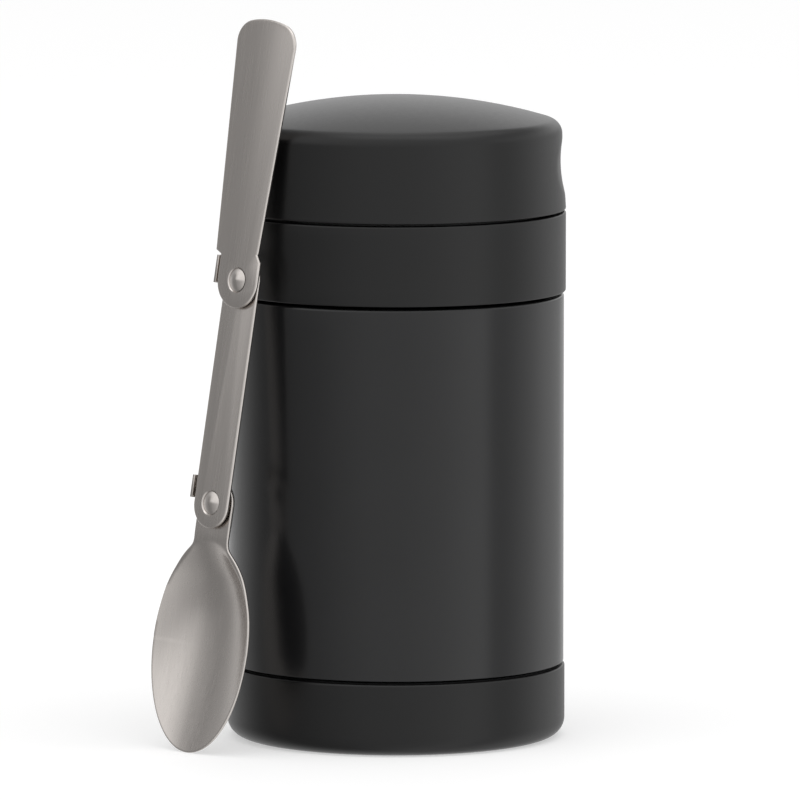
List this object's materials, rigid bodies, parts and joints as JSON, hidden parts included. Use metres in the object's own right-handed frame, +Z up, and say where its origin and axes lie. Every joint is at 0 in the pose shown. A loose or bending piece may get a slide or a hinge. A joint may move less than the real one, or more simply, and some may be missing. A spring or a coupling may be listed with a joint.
{
  "type": "insulated food jar",
  "caption": "Vacuum-insulated steel food jar with a screw lid, a flip-up hinged cover over a spoon tray, and a folding steel spoon that leans against it.",
  "frame": {"origin": "centre of the jar's flat base", "axes": "+Z up along the jar's axis; -Y is the front, as pictured; +X points to the finger scoop and -X to the cover's hinge"},
  "size_m": [0.1109, 0.0923, 0.1946],
  "materials": {
    "body_paint": "satin black powder coat",
    "liner_steel": "polished and brushed stainless steel",
    "shell_steel": "plain rolled stainless steel",
    "getter_metal": "sintered metal tablet",
    "foil": "bright copper foil",
    "base_plastic": "matte black moulding",
    "ring_plastic": "matte black moulding",
    "cover_plastic": "matte black moulding, finely sparked",
    "stopper_plastic": "matte dark grey moulding",
    "tray_plastic": "matte black moulding",
    "foam": "open foam",
    "seal_rubber": "grey silicone",
    "pin_steel": "drawn stainless wire",
    "spoon_steel": "satin stainless steel",
    "rivet_steel": "satin stainless steel"
  },
  "bodies": {
    "jar": {"outer_shell": "body_paint", "inner_liner": "liner_steel", "outer_base": "shell_steel", "getter": "getter_metal", "radiation_foil": "foil", "vacuum_plug": "shell_steel", "base_cup": "base_plastic"},
    "seal": {"lid_seal": "seal_rubber"},
    "lid": {"screw_ring": "ring_plastic", "stopper": "stopper_plastic", "stopper_foam": "foam", "spoon_tray": "tray_plastic", "hinge_pin": "pin_steel"},
    "cover": {"cover": "cover_plastic"},
    "spoon": {"spoon_link": "spoon_steel", "handle_rivet": "rivet_steel", "bowl_rivet": "rivet_steel", "handle_washer": "rivet_steel", "bowl_washer": "rivet_steel"},
    "handle": {"spoon_handle": "spoon_steel"},
    "bowl": {"spoon_bowl": "spoon_steel"}
  },
  "joints": [
    {"name": "lid_lift", "type": "slide", "parent": "jar", "child": "seal", "axis": [0, 0, 1], "range_m": [0, 0.0051]},
    {"name": "lid_twist", "type": "hinge", "parent": "seal", "child": "lid", "pos_m": [0, 0, 0.13], "axis": [0, 0, 1], "range_deg": [0, 225]},
    {"name": "cover_hinge", "type": "hinge", "parent": "lid", "child": "cover", "pos_m": [-0.0442, 0, 0.142], "axis": [0, -1, 0], "range_deg": [0, 110]},
    {"name": "spoon_away", "type": "slide", "parent": "jar", "child": "spoon", "axis": [-0.7096, -0.7046, 0], "range_m": [0, 0.15]},
    {"name": "handle_fold", "type": "hinge", "parent": "spoon", "child": "handle", "pos_m": [-0.04087, -0.03097, 0.12565], "axis": [0.703, 0.6981, -0.1357], "range_deg": [0, 180]},
    {"name": "bowl_fold", "type": "hinge", "parent": "spoon", "child": "bowl", "pos_m": [-0.04917, -0.03408, 0.06671], "axis": [-0.703, -0.6981, 0.1357], "range_deg": [0, 180]}
  ],
  "couplings": [
    {"joint": "lid_lift", "follows": "lid_twist", "m_per_rad": 0.0012732},
    {"joint": "spoon_away", "follows": "cover_hinge", "m_per_rad": 0.078}
  ]
}
